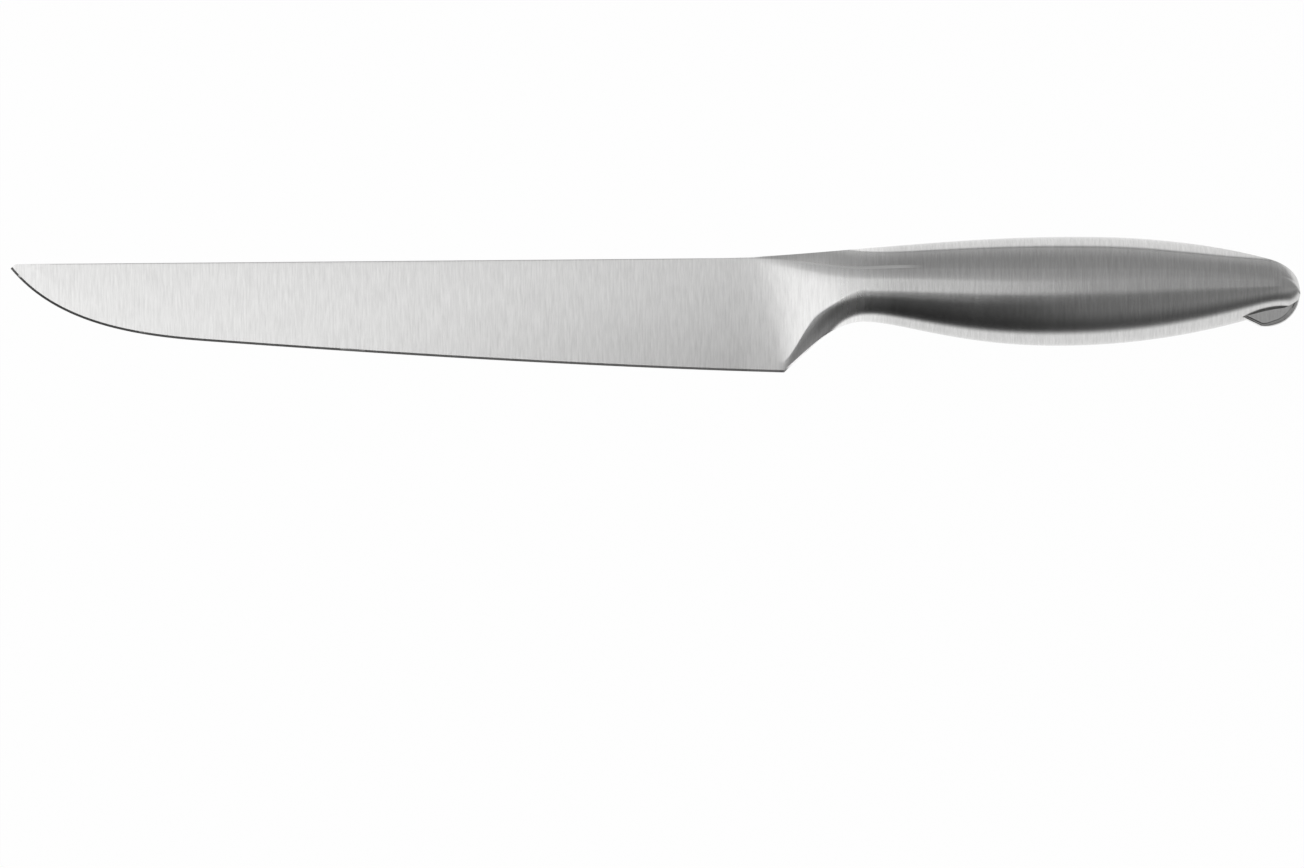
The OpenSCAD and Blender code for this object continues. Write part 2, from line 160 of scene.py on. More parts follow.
# Details that only this scene has. Four distances from the heel are where one starts, is full, starts to
# fade and ends.
SPINE_EASE = 0.22        # how far the spine's corners are eased
SPINE_EASE_SHARE = 0.4   # of half the spine's thickness near the point that the easing takes at most
CREASE_EASE = 0.9        # how far they are eased where they run on into the handle, as the crease
CREASE_EASE_X = 7.0      # from the heel, where it has grown to that
HEEL_EASE = 2.2          # how far the corner above the underside is eased behind the heel
HEEL_EASE_X = (0.5, 3.0, 8.0, 14.0)
ROLL_T = 0.2             # how far the bolster's side rolls back to the crease
ROLL_X = (-11.0, 2.0, 9.0, 20.0)
ROLL_H = (1.5, 5.0)      # over this height below the crease, where it starts and where it is full
WEAR_AND_HIGHLIGHT_X = (0.0, 6.0, 26.0, 42.0)    # the wear along the crease, with a painted highlight: its steel is lighter there
GROOVE_W = 0.25          # half the width of the fine groove around the beak's flat side
GROOVE_T = 0.14          # and its depth

# Points of a half section: over the back, around to the side, down the side and around the underside
ROOF_N, TURN_N, SIDE_N, UNDER_N = 14, 6, 16, 24
CORNER_N = 5             # points of an eased corner
SIDE_END = ROOF_N + TURN_N + SIDE_N
CREASE_ROW = ROOF_N + CORNER_N // 2

# Sections of each stretch, and the points of the beak's front, rim and rounded edge
TIP_N, EDGE_N, BOLSTER_N, SHELL_N, CAP_N = 90, 40, 110, 110, 70
TIP_CROWD = 1.3          # above 1 the sections crowd towards the point
FRONT_N, RIM_N, ROUND_N = 24, 90, 12
SHARP_DEG = 30.0         # angle between faces above which the shading breaks
SHARP_BOLSTER_N = 60     # sections of the bolster along which the lines of the edge stay sharp
MERGE = 1e-7             # metres between points that become one
SAME_X = 1e-3            # distance along the knife up to which two points are of one section
FLAT_NEAR = 1e-3         # distance from the beak's flat side up to which a face is on it
HALVINGS = 40            # of the range in which a curve's point is sought

# Camera, over a point that is given in the model's own millimetres; its distance is in metres
PHOTO_W = 1304
PX_MM = 0.2589           # millimetres for each pixel of the photograph
CAMERA_AT = np.array([-34.30, -45.34])
CAMERA_FAR = 3.0
CAMERA_ROLL = -0.484     # degrees
CAMERA_CLIP = 10.0
SENSOR = 36.0            # millimetres

# Steel: base colour and roughness as (distance from the heel, level) stops
TONES = ((-14, 0.8), (-2, 0.93), (11, 0.93), (32, 0.645))
ROUGHS = ((8, 0.3), (27, 0.25))
WEIGHT_TONES = ((0, 0.45),)
WEIGHT_ROUGHS = ((0, 0.45),)
STEEL_TINT = (1.0, 0.997, 0.99)
TONE_SPREAD = 0.1        # share by which the grinding lines vary the tone
BROAD_SPREAD = 0.015     # share by which broader patches do
ROUGH_SPREAD = 0.04      # share by which these vary the roughness
GRAIN = (2000, 170, 170)    # the grinding lines' features in a metre along, across and through the knife
BROAD_GRAIN = tuple(g / 9 for g in GRAIN)
NOISE_RANGE = (0.3, 0.7)    # levels between which nearly all of a noise lies
ANISOTROPY = 0.85
ANISO_TURN = 0.25        # turns the highlights by a quarter, as the lines run across the knife
SCRATCH = 0.00001        # depth of the grinding lines in metres
# Worn steel along the crease: smoother, and lighter in colour as a painted highlight
WORN_HIGHLIGHT_TONE = 0.97
WORN_ROUGH = 0.2
WEAR_AND_HIGHLIGHT_RANGE = (0.2, 0.9)  # wear and painted highlight at which the worn, lighter steel starts to show, and at which it is all that shows

# Light, in metres. Polished steel shows its surroundings, so these shape the highlights on the knife.
FLOOR_GREY = 0.9
FLOOR_ROUGH = 0.9
FLOOR_GLOW = 0.985       # the floor's level in the picture, and in the knife's reflections
FLOOR_LIT_Y = (0.09, 0.19)    # where it fades out of the reflections, towards the spine's side
FLOOR_HALF = 4.0
BOX_Z = 0.31
BOX_X = (-0.45, 0.35)
BOX_STRENGTH = 1.36
BOX_SOFT = 0.015         # width of its soft borders

# The soft box's level, its border towards the edge and its border towards the spine, at places along it
BOX_LEVELS = ((-0.45, 0.98), (-0.3, 0.94), (-0.2, 0.87), (-0.15, 0.84), (-0.1, 0.83), (-0.05, 0.79),
              (0.0, 0.74), (0.025, 0.67), (0.047, 0.55), (0.081, 0.465), (0.11, 0.38), (0.16, 0.31),
              (0.185, 0.19), (0.22, 0.19), (0.26, 0.25), (0.35, 0.27))
BOX_LOW = ((-0.1, -0.12), (0.0, -0.028), (0.03, -0.032), (0.07, -0.032), (0.1, -0.016), (0.13, 0.002),
           (0.165, 0.012))
BOX_HIGH = ((-0.125, 0.04), (-0.112, 0.01), (-0.06, 0.01), (-0.01, 0.04))

# The studio's level at degrees around the knife's length, from straight up and positive towards the spine:
# near has the dark card at the edge's side, far is what steel that faces the butt's end shows.
CARD_NEAR = ((-180, 0.97), (-90, 0.97), (-84, 0.6), (-76, 0.08), (-70, 0.02), (-45, 0.015), (-35, 0.02),
             (-25, 0.035), (-15, 0.06), (-5, 0.12), (0, 0.6), (8, 0.55), (14, 0.5), (20, 0.45), (28, 0.43),
             (33, 0.4), (38, 0.35), (44, 0.33), (60, 0.33), (70, 0.38), (80, 0.45), (88, 0.5), (93, 0.97),
             (180, 0.97))
CARD_FAR = ((-180, 0.97), (-90, 0.97), (-84, 0.6), (-76, 0.2), (-70, 0.14), (-60, 0.14), (-50, 0.23),
            (-42, 0.32), (-33, 0.39), (-20, 0.36), (-10, 0.32), (0, 0.31), (10, 0.31), (20, 0.32), (30, 0.33),
            (60, 0.335), (70, 0.39), (80, 0.45), (88, 0.5), (93, 0.97), (180, 0.97))
CARD_TURN_X = (0.0, 0.15)    # x of a unit direction between which near turns into far


def mix(a, b, t):
    return a + (b - a) * t


def ease(t):
    """0 before 0, 1 after 1, and smooth between."""
    u = min(max(t, 0.0), 1.0)
    return u * u * (3 - 2 * u)


def bezier(points, t):
    a, b, c, d = [np.asarray(p, float) for p in points]
    s = 1 - t
    return s ** 3 * a + 3 * s * s * t * b + 3 * s * t * t * c + t ** 3 * d


def bezier_way(points, t):
    """The way the curve runs at t, at a third of its speed."""
    a, b, c, d = [np.asarray(p, float) for p in points]
    s = 1 - t
    return s * s * (b - a) + 2 * s * t * (c - b) + t * t * (d - c)


def share_at(points, x):
    """How far along the curve, from 0 to 1, it reaches x."""
    low, high = 0.0, 1.0
    for _ in range(HALVINGS):
        mid = (low + high) / 2
        if bezier(points, mid)[0] < x:
            low = mid
        else:
            high = mid
    return low


def height_at(points, x):
    return bezier(points, share_at(points, x))[1]


TIP = np.array([-BLADE_L, -TIP_DROP])
BELLY = np.array([BELLY_L - BLADE_L, -BELLY_H])
HEEL = np.array([0.0, -HEEL_H])
NECK = np.array([NECK_X, -NECK_DROP])
PALM = np.array([SWELL_X, -PALM_DROP])
TIP_WAY = np.array([math.cos(math.radians(TIP_ANGLE)), -math.sin(math.radians(TIP_ANGLE))])
TIP_CURVE = (TIP, TIP + TIP_RUN * TIP_WAY, BELLY + BELLY_RUN * np.array([-1, BELLY_SLOPE]), BELLY)
EDGE_CURVE = (BELLY, BELLY + EDGE_RUN * np.array([1, -BELLY_SLOPE]),
              HEEL + EDGE_RUN * np.array([-1, HEEL_SLOPE]), HEEL)
CHOIL_CURVE = (HEEL, HEEL + np.array(CHOIL_RUN), NECK - (NECK_RUN, 0), NECK)
PALM_CURVE = (NECK, NECK + (NECK_RUN_BACK, 0), PALM - (PALM_RUN, 0), PALM)
RISE_CURVE = ((-RISE_L, 0), (RISE_RUN - RISE_L, 0), (SWELL_X - CROWN_RUN, CROWN), (SWELL_X, CROWN))
PLAN_CURVE = ((NECK_X, NECK_W / 2), (NECK_X + PLAN_RUN, NECK_W / 2 + PLAN_LIFT),
              (THICK_X - PLAN_RUN, HANDLE_W / 2), (THICK_X, HANDLE_W / 2))


def end_round(x, run, power, reach):
    """1 before the butt's last stretch, falling over it like a quarter of a rounded square."""
    u = reach * min(max((x - HANDLE_L) / run + 1, 0.0), 1.0)
    return (1 - u ** power) ** (1 / power)


def rounded(x, y):
    """A height of the handle's outline, drawn in around the butt's end."""
    return -BUTT_DROP + (y + BUTT_DROP) * end_round(x, BUTT_RUN, END_POWER, END_REACH)


def to_butt(x, start):
    """How far from start to the butt, from 0 to 1."""
    return (x - start) / (HANDLE_L - start)


def back(x):
    """Height of the spine and the handle's back."""
    if x <= -RISE_L:
        return 0.0
    line = height_at(RISE_CURVE, x) if x < SWELL_X else CROWN - BACK_FALL * to_butt(x, SWELL_X) ** BACK_POWER
    return rounded(x, line)


def under(x):
    """Height of the cutting edge, the choil and the handle's underside."""
    if x < 0:
        line = height_at(EDGE_CURVE, x)
    elif x < NECK_X:
        line = height_at(CHOIL_CURVE, x)
    elif x < SWELL_X:
        line = height_at(PALM_CURVE, x)
    else:
        line = -PALM_DROP + PALM_RISE * to_butt(x, SWELL_X) ** PALM_POWER
    return rounded(x, line)


def half_w(x):
    """Half the width of the bolster and handle seen from above."""
    if x <= NECK_X:
        line = NECK_W / 2 + PLAN_LIFT / PLAN_RUN * (x - NECK_X)
    elif x < THICK_X:
        line = height_at(PLAN_CURVE, x)
    else:
        line = mix(HANDLE_W, BUTT_W, to_butt(x, THICK_X) ** 2) / 2
    return line * end_round(x, BUTT_PLAN_RUN, PLAN_POWER, PLAN_REACH)


def swell_share(x):
    """How far from the neck to the tallest place, from 0 to 1."""
    return min(max((x - NECK_X) / (SWELL_X - NECK_X), 0.0), 1.0)


def neck_under(x):
    """Height of the rounded underside of the bolster."""
    x0, x1, x2, x3 = UNDER_GROW_X
    low = mix(HEEL_UNDER, BOLSTER_UNDER, ease((x - x0) / (x1 - x0)))
    return low + (NECK_UNDER - BOLSTER_UNDER) * ease((x - x2) / (x3 - x2))


def side_span(x):
    """Heights between which the side is flat."""
    y1, y0 = back(x), under(x)
    if x <= NECK_X:
        return y1 - NECK_ROOF + ROOF_THIN * (NECK_X - x), y0 + neck_under(x)
    if x > SWELL_X:
        return y1 - BACK_SHARE * (y1 - y0), y0 + UNDER_SHARE * (y1 - y0)
    share, tall = ease(swell_share(x)), CROWN + PALM_DROP
    return (mix(back(NECK_X) - NECK_ROOF, CROWN - BACK_SHARE * tall, share),
            mix(NECK_UNDER - NECK_DROP, UNDER_SHARE * tall - PALM_DROP, share))


def under_arc(x, y_side, y_low, w):
    """The underside from the flat side to its middle."""

    def arc(a, a0, a1):
        share = (np.sin(a) - math.sin(a0)) / (math.sin(a1) - math.sin(a0))
        return np.column_stack([mix(y_side, y_low, share), w * np.cos(a) / math.cos(a0)])

    whole = arc(np.linspace(0, math.pi / 2, UNDER_N + 1)[1:], 0, math.pi / 2)
    flat, start, end = under_cut(x)
    cut = np.vstack([arc(np.linspace(start, end, UNDER_N)[1:], start, end), [[y_low, 0]]])
    return mix(whole, cut, flat)


def fold(x):
    """Angle around the back at which the crease cuts it off."""
    return math.radians(CREASE_ANGLE - CREASE_FOLD * (1 - ease((x - NECK_X) / (CREASE_END_X - NECK_X))))


def flatness(x, flat_x, round_x):
    """1 where a section is flat in its middle, 0 where it is round."""
    return ease((round_x - x) / (round_x - flat_x))


def back_cut(x):
    """How flat the back is in its middle, and the angle around it at which that starts."""
    if x < SWELL_X:
        return flatness(x, TOP_FLAT_X, TOP_ROUND_X), math.radians(TOP_TURN)
    return flatness(x, HANDLE_L - BUTT_FLAT_L, HANDLE_L - BUTT_ROUND_L), math.radians(BUTT_TOP_TURN)


def under_cut(x):
    """How flat the underside is in its middle, and the angles between which it turns to that."""
    if x < SWELL_X:
        return flatness(x, CHOIL_FLAT_X, CHOIL_ROUND_X), math.radians(CHOIL_FOLD), math.radians(CHOIL_TURN)
    flat = flatness(x, HANDLE_L - LOW_FLAT_L, HANDLE_L - LOW_ROUND_L)
    return flat, math.radians(BUTT_FOLD), math.radians(BUTT_LOW_TURN)


def side_z(x, y):
    """Half the thickness of the blade at a place on its flat-ground side."""
    return SPINE_T / 2 + TAPER * x + GRIND * y


def roof_arc(x, y_mid, y_corner, z_corner):
    """The crowned back from its middle to the corner it makes with the side."""
    a1 = fold(x)

    def arc(a, a0):
        share = (np.cos(a) - math.cos(a1)) / (math.cos(a0) - math.cos(a1))
        return np.column_stack([mix(y_corner, y_mid, share), z_corner * np.sin(a) / math.sin(a1)])

    whole = arc(np.linspace(0, a1, ROOF_N + 1), 0)
    flat, turn = back_cut(x)
    cut = np.vstack([[[y_mid, 0]], arc(np.linspace(turn, a1, ROOF_N), turn)])
    return mix(whole, cut, flat)


def handle_half(x, inset=0.0):
    """Half a handle section as [y, z] rows from the back's middle to the underside's."""
    y1, y0, w = back(x) - inset, under(x) + inset, half_w(x) - inset
    yt, yr = side_span(x)
    corner = math.radians(CREASE_ANGLE)
    turn = np.linspace(corner, math.pi / 2, TURN_N + 1)[1:]
    side = np.linspace(yt, yr, SIDE_N + 1)[1:]
    return np.vstack([
        roof_arc(x, y1, yt + (y1 - yt) * math.cos(corner), w * math.sin(corner)),
        np.column_stack([yt + (y1 - yt) * np.cos(turn), w * np.sin(turn)]),
        np.column_stack([side, np.full(SIDE_N, w)]),
        under_arc(x, yr, y0, w)])


def blade_half(x):
    """The same points on the blade's own section: crowned spine, flat side and bevel."""
    y0 = under(x)
    ys = y0 + BEVEL_W
    roof = back(x) - side_span(x)[0]
    yt, yr = -roof * math.cos(math.radians(CREASE_ANGLE)), ys + neck_under(x)
    y = np.concatenate([np.linspace(0, yt, TURN_N + 1)[1:], np.linspace(yt, yr, SIDE_N + 1)[1:],
                        np.linspace(yr, ys, UNDER_N)[1:]])
    return np.vstack([roof_arc(x, back(x), 0.0, side_z(x, 0)), np.column_stack([y, side_z(x, y)]), [[y0, 0]]])


def cove(x, y):
    """Share of the handle's section in the bolster's, 0 on the blade and 1 on the neck."""
    low = np.clip(-y / HEEL_H, 0, 1)
    start, full = mix(-SPINE_COVE_L, -HEEL_COVE_L, low), mix(SPINE_FULL_X, CHOIL_FULL_X, low)
    u = np.clip((x - start) / (full - start), 0, 1)
    return u * u * (3 - 2 * u)


def bolster_half(x):
    """A half section that turns from the blade's own into the handle's."""
    flat, full = blade_half(x), handle_half(x)
    return flat + (full - flat) * cove(x, flat[:, 0])[:, None]


def ground_half(e, n):
    """Half a ring across the blade, square to its edge at e, as [x, y, z] rows."""
    depth = -e[1] / n[1]
    band, bevel = min(BEVEL_W + THIN_W, THIN_SHARE * depth), min(BEVEL_W, BEVEL_SHARE * depth)
    s, b, p = e + n * bevel, e + n * band, e + n * depth
    zs = min(BEVEL_T / 2, side_z(*s)) * bevel / BEVEL_W
    zb = min(side_z(*b), mix(zs, side_z(*b), (band - bevel) / THIN_W))
    zp = min(side_z(p[0], 0), mix(zs, side_z(p[0], 0), (depth - bevel) / THIN_W))
    top, low, sharp = [np.array([q[0], q[1], z]) for q, z in ((p, zp), (b, zb), (s, zs))]
    centre = np.array([top[0], top[1], 0.0])
    steps = [centre + (top - centre) * t for t in np.linspace(0, 1, ROOF_N + 1)]
    steps += [top + (low - top) * t for t in np.linspace(0, 1, TURN_N + SIDE_N + 1)[1:]]
    steps += [low + (sharp - low) * t for t in np.linspace(0, 1, UNDER_N)[1:]]
    return np.array(steps + [[e[0], e[1], 0.0]])


def ease_corner(half, row, reach):
    """Rounds the corner at a row over the reach on both sides of it."""
    corner = half[row]
    ends = []
    for near in (half[row - 1], half[row + 1]):
        ends.append(corner + (near - corner) * min(reach / np.linalg.norm(near - corner), 0.9))
    t = np.linspace(0, 1, CORNER_N)[:, None]
    arc = (1 - t) ** 2 * ends[0] + 2 * t * (1 - t) * corner + t * t * ends[1]
    return np.vstack([half[:row], arc, half[row + 1:]])


def ease_corners(half, reach, low_reach=SPINE_EASE):
    """Rounds the corners that the side makes with the back, over the reach, and with the underside."""
    return ease_corner(ease_corner(half, SIDE_END, low_reach), ROOF_N, reach)


def rise_and_fall(x, stops):
    """0 before the first stop, 1 between the second and third, and 0 after the fourth."""
    x0, x1, x2, x3 = stops
    return ease((x - x0) / (x1 - x0)) * (1 - ease((x - x2) / (x3 - x2)))


def roll_back(x, half):
    """Rolls the top of the bolster's side back to the crease."""
    depth = ROLL_T * rise_and_fall(x, ROLL_X)
    height = mix(*ROLL_H, ease((x - ROLL_X[0]) / (ROLL_X[1] - ROLL_X[0])))
    y, z = half[ROOF_N]
    rolled = half.copy()
    rolled[:ROOF_N, 1] *= (z - depth) / z
    rolled[ROOF_N:, 1] -= depth * np.clip((half[ROOF_N:, 0] - y) / height + 1, 0, 1) ** 2
    return rolled


def at_x(x, half):
    """A half section of [y, z] rows as [x, y, z] rows."""
    return np.column_stack([np.full(len(half), x), half])


def disc_half(x, radius, count):
    """Half a round section of the tang."""
    a = np.linspace(0, math.pi, count)
    return np.column_stack([np.full(count, x), radius * np.cos(a) - TANG_DROP, radius * np.sin(a)])


def closed(half):
    """A half section and its mirror image as one ring."""
    return np.vstack([half, half[-2:0:-1] * (1, 1, -1)])


def new_object(name, vertices, faces):
    """An object in the frame from points in the model's millimetres, its faces turned outwards."""
    mesh = bpy.data.meshes.new(name)
    mesh.from_pydata([tuple(v) for v in (np.asarray(vertices) + SHIFT) * MM], [], faces)
    bm = bmesh.new()
    bm.from_mesh(mesh)
    bmesh.ops.remove_doubles(bm, verts=bm.verts, dist=MERGE)
    bmesh.ops.recalc_face_normals(bm, faces=bm.faces)
    if bm.calc_volume(signed=True) < 0:
        bmesh.ops.reverse_faces(bm, faces=bm.faces)
    bm.to_mesh(mesh)
    bm.free()
    obj = bpy.data.objects.new(name, mesh)
    bpy.context.scene.collection.objects.link(obj)
    return obj


def wall_faces(rings):
    """Faces between each ring and the next, all with the same count of points."""
    n = len(rings[0])
    faces = []
    for a in range(0, (len(rings) - 1) * n, n):
        faces += [(a + j, a + (j + 1) % n, a + n + (j + 1) % n, a + n + j) for j in range(n)]
    return faces


def loft(name, rings):
    """A closed mesh through the rings, capped at both ends."""
    n, last = len(rings[0]), (len(rings) - 1) * len(rings[0])
    ends = [tuple(range(n)), tuple(range(last, last + n))]
    return new_object(name, np.vstack(rings), ends + wall_faces(rings))


def model_points(obj):
    """The object's vertices in the model's millimetres."""
    return np.array([v.co for v in obj.data.vertices]) / MM - SHIFT


def shade(obj, sharp_lines=()):
    """Smooth shading, broken at sharp angles and along the given lines of points, in millimetres."""
    obj.data.shade_smooth()
    obj.data.set_sharp_from_angle(angle=math.radians(SHARP_DEG))
    if len(sharp_lines):
        keys = {tuple(np.round(p, 4)) for line in sharp_lines for p in line}
        points = model_points(obj)
        on = [tuple(np.round(p, 4)) in keys for p in points]
        for edge in obj.data.edges:
            a, b = edge.vertices
            if on[a] and on[b] and abs(points[a][0] - points[b][0]) > SAME_X:
                edge.use_edge_sharp = True


def crease_points(halves):
    """The points around the eased crease on each of the half sections."""
    return np.vstack([h[CREASE_ROW - 1:CREASE_ROW + 2] for h in halves])


def mark_wear_and_highlight(obj, line):
    """Marks the vertices at the line's points as worn, for the steel to show, and for a painted highlight
    there.
    """
    points = model_points(obj)
    worn_and_highlight = np.zeros(len(points))
    for p in line:
        worn_and_highlight[np.argmin(((points - p) ** 2).sum(axis=1))] = rise_and_fall(p[0], WEAR_AND_HIGHLIGHT_X)
    obj.data.attributes.new("wear_and_highlight", "FLOAT", "POINT").data.foreach_set("value", worn_and_highlight)


def square_to(way):
    """The unit direction to the left of a way."""
    return np.array([-way[1], way[0]]) / np.linalg.norm(way)


def ground_halves():
    """Half rings of the blade from its point to the bolster, their spine corners eased."""
    halves = []
    for k in range(TIP_N):
        t = (k / TIP_N) ** TIP_CROWD
        halves.append(ground_half(bezier(TIP_CURVE, t), square_to(bezier_way(TIP_CURVE, t))))
    end = share_at(EDGE_CURVE, -RISE_L)
    for k in range(EDGE_N):
        share = k / EDGE_N
        way = (1, -BELLY_SLOPE * (1 - share))
        halves.append(ground_half(bezier(EDGE_CURVE, end * share), square_to(way)))
    return [ease_corners(h, min(SPINE_EASE, SPINE_EASE_SHARE * h[ROOF_N][2])) for h in halves]


def bolster_halves():
    """Half rings of the bolster from the blade to the weld, their corners eased."""
    halves = []
    for k in range(BOLSTER_N + 1):
        x = mix(-RISE_L, WELD_X, k / BOLSTER_N)
        reach = mix(SPINE_EASE, CREASE_EASE, ease((x + SPINE_COVE_L) / (CREASE_EASE_X + SPINE_COVE_L)))
        low_reach = mix(SPINE_EASE, HEEL_EASE, rise_and_fall(x, HEEL_EASE_X))
        halves.append(ease_corners(at_x(x, roll_back(x, bolster_half(x))), reach, low_reach))
    return halves


def make_blade():
    """The forging: blade, bolster and tang. Its bevel's two lines and its edge are shaded sharp."""
    halves = ground_halves() + bolster_halves()
    count = len(halves[0])
    crease = crease_points([h for h in halves if h[0][0] > WEAR_AND_HIGHLIGHT_X[0]])
    sharp = [np.array([h[-2] for h in halves[:-1]]), np.array([h[-1] for h in halves if h[0][0] < 0])]
    for x in (WELD_X, WELD_X + SPIGOT_L):
        halves.append(ease_corners(at_x(x, handle_half(x, FIT)), CREASE_EASE))
    for x, d in ((WELD_X + SPIGOT_L, ROOT_D), (SHOULDER_X, ROOT_D), (SHOULDER_X, TANG_D), (TANG_X1, TANG_D)):
        halves.append(disc_half(x, d / 2, count))
    obj = loft("blade_forging", [closed(h) for h in halves])
    mirrored = [line * (1, 1, -1) for line in sharp]
    shade(obj, [line[:TIP_N + EDGE_N + SHARP_BOLSTER_N] for line in sharp + mirrored])
    # wear along the crease, and a painted highlight there
    mark_wear_and_highlight(obj, np.vstack([crease, crease * (1, 1, -1)]))
    return obj


def make_shell(name, side):
    """Half the hollow handle, on the side with z above 0 for 1 and below it for -1."""
    rings = []
    for x in np.linspace(WELD_X, CAP_X, SHELL_N + 1):
        outer = ease_corners(at_x(x, handle_half(x)), CREASE_EASE)
        inner = ease_corners(at_x(x, handle_half(x, SHELL_T)), CREASE_EASE)
        rings.append(np.vstack([outer, inner[::-1]]) * (1, 1, side))
    n = len(rings[0])
    faces = wall_faces(rings)
    for a in (0, (len(rings) - 1) * n):
        faces += [(a + j, a + j + 1, a + n - 2 - j, a + n - 1 - j) for j in range(n // 2 - 1)]
    obj = new_object(name, np.vstack(rings), faces)
    shade(obj)
    # wear along the crease, and a painted highlight there
    mark_wear_and_highlight(obj, crease_points([r for r in rings if r[0][0] < WEAR_AND_HIGHLIGHT_X[3]]))
    return obj


def beak_outline():
    """The beak seen from the side: rows of x, y and the way and depth that its edge is rounded inwards."""
    centre = np.array([HANDLE_L - BEAK_R, -BEAK_DROP])
    turn = math.radians(BEAK_ANGLE)
    way, up = np.array([math.cos(turn), -math.sin(turn)]), np.array([math.sin(turn), math.cos(turn)])
    tip = np.array([HANDLE_L - BEAK_L, -BEAK_TIP_DROP])
    off = tip - centre
    reach = -off @ way + math.sqrt((off @ way) ** 2 - off @ off + BEAK_R ** 2)
    corner = tip + way * reach
    start, end = math.atan2(*(corner - centre)[::-1]), math.asin((BEAK_DROP - BEAK_TOP) / BEAK_R)
    front = [(*(tip + way * t), *(up * FRONT_EDGE)) for t in np.linspace(0, reach, FRONT_N + 1)[:-1]]
    arc = []
    for a in np.linspace(start, end, RIM_N):
        out = np.array([math.cos(a), math.sin(a)])
        depth = mix(FRONT_EDGE, BEAK_EDGE, ease((a - start) / BEAK_EDGE_TURN))
        arc.append((*(centre + BEAK_R * out), *(-out * depth)))
    hidden = [tip - way * BEAK_SUNK, tip - way * BEAK_SUNK + up * BEAK_SUNK]
    return np.array([(*hidden[1], 0, 0), (*hidden[0], 0, 0)] + front + arc)


def make_beak():
    """The beak's outline with flat, finely grooved sides and rounded edges."""
    rows = beak_outline()
    depth = np.linalg.norm(rows[:, 2:], axis=1)
    inward = rows[:, 2:] / np.maximum(depth, 1e-6)[:, None]
    edge = depth > 0
    rings = []
    for away, sunk in ((2 * GROOVE_W, 0), (GROOVE_W, GROOVE_T)):
        drawn = rows[:, :2] + rows[:, 2:] + inward * away
        rings.append(np.column_stack([drawn, BEAK_T / 2 - sunk * edge]))
    for a in np.linspace(math.pi / 2, 0, ROUND_N + 1):
        drawn = rows[:, :2] + rows[:, 2:] * (1 - math.cos(a))
        rings.append(np.column_stack([drawn, BEAK_T / 2 - depth * (1 - math.sin(a))]))
    return loft("beak", rings + [r * (1, 1, -1) for r in rings[::-1]])


def edge_facet(obj):
    """Breaks the shading around the beak's flat sides."""
    centres = np.array([p.center for p in obj.data.polygons]) / MM - SHIFT
    flat = (np.abs(np.abs(centres[:, 2]) - BEAK_T / 2) < FLAT_NEAR) & (centres[:, 1] < -BEAK_TOP)
    sides = Counter(key for face in obj.data.polygons if flat[face.index] for key in face.edge_keys)
    for edge in obj.data.edges:
        if sides[edge.key] == 1:
            edge.use_edge_sharp = True


def make_cap():
    """The cast end: its hollow, its spigot, its outside and the beak joined on."""
    bore = FIT + SPIGOT_T
    rings = []
    for x, inset in ((HANDLE_L - CAP_END, bore), (CAP_X + CAP_HOLLOW_L, bore), (CAP_X - SPIGOT_L, bore),
                     (CAP_X - SPIGOT_L, FIT), (CAP_X, FIT)):
        rings.append(at_x(x, handle_half(x, inset)))
    for k in range(CAP_N + 1):
        x = mix(CAP_X, HANDLE_L, math.sin(math.pi / 2 * k / CAP_N))
        rings.append(at_x(x, handle_half(x)))
    body = loft("butt_cap_cast", [closed(r) for r in rings])
    beak = make_beak()
    join = body.modifiers.new("join", "BOOLEAN")
    join.operation, join.solver, join.object = "UNION", "EXACT", beak
    joined = bpy.data.meshes.new_from_object(body.evaluated_get(bpy.context.evaluated_depsgraph_get()))
    body.modifiers.clear()
    body.data = joined
    bpy.data.objects.remove(beak)
    shade(body)
    edge_facet(body)
    return body


def node_tree(name):
    """A new material with its tree and its main shader."""
    material = bpy.data.materials.new(name)
    material.use_nodes = True
    tree = material.node_tree
    return material, tree, tree.nodes["Principled BSDF"]


def feed(tree, value, socket):
    """Sets a socket to a number, or links an output to it."""
    if isinstance(value, (int, float)):
        socket.default_value = value
    else:
        tree.links.new(value, socket)


def maths(tree, operation, a, b=0.0):
    """A math node's output, for two numbers or outputs."""
    node = tree.nodes.new("ShaderNodeMath")
    node.operation = operation
    feed(tree, a, node.inputs[0])
    feed(tree, b, node.inputs[1])
    return node.outputs[0]


def step(tree, value, start, end, low=0.0, high=1.0):
    """low before start, high after end, and smooth between; start may lie after end."""
    node = tree.nodes.new("ShaderNodeMapRange")
    node.interpolation_type = "SMOOTHSTEP"
    for given, name in ((start, "From Min"), (end, "From Max"), (low, "To Min"), (high, "To Max")):
        feed(tree, given, node.inputs[name])
    tree.links.new(value, node.inputs["Value"])
    return node.outputs["Result"]


def place(tree, output="Object"):
    """The x, y and z outputs of the shaded point's place, or of a direction in the world."""
    split = tree.nodes.new("ShaderNodeSeparateXYZ")
    tree.links.new(tree.nodes.new("ShaderNodeTexCoord").outputs[output], split.inputs[0])
    return split.outputs


def ramp(tree, value, first, last, stops):
    """A grey level that follows (position, level) stops, straight between them."""
    share = tree.nodes.new("ShaderNodeMapRange")
    share.inputs["From Min"].default_value = first
    share.inputs["From Max"].default_value = last
    tree.links.new(value, share.inputs["Value"])
    node = tree.nodes.new("ShaderNodeValToRGB")
    elements = node.color_ramp.elements
    while len(elements) > 1:
        elements.remove(elements[-1])
    for index, (position, level) in enumerate(stops):
        at = (position - first) / (last - first)
        element = elements[0] if index == 0 else elements.new(at)
        element.position = at
        element.color = (level, level, level, 1)
    tree.links.new(share.outputs["Result"], node.inputs["Fac"])
    return node.outputs["Color"]


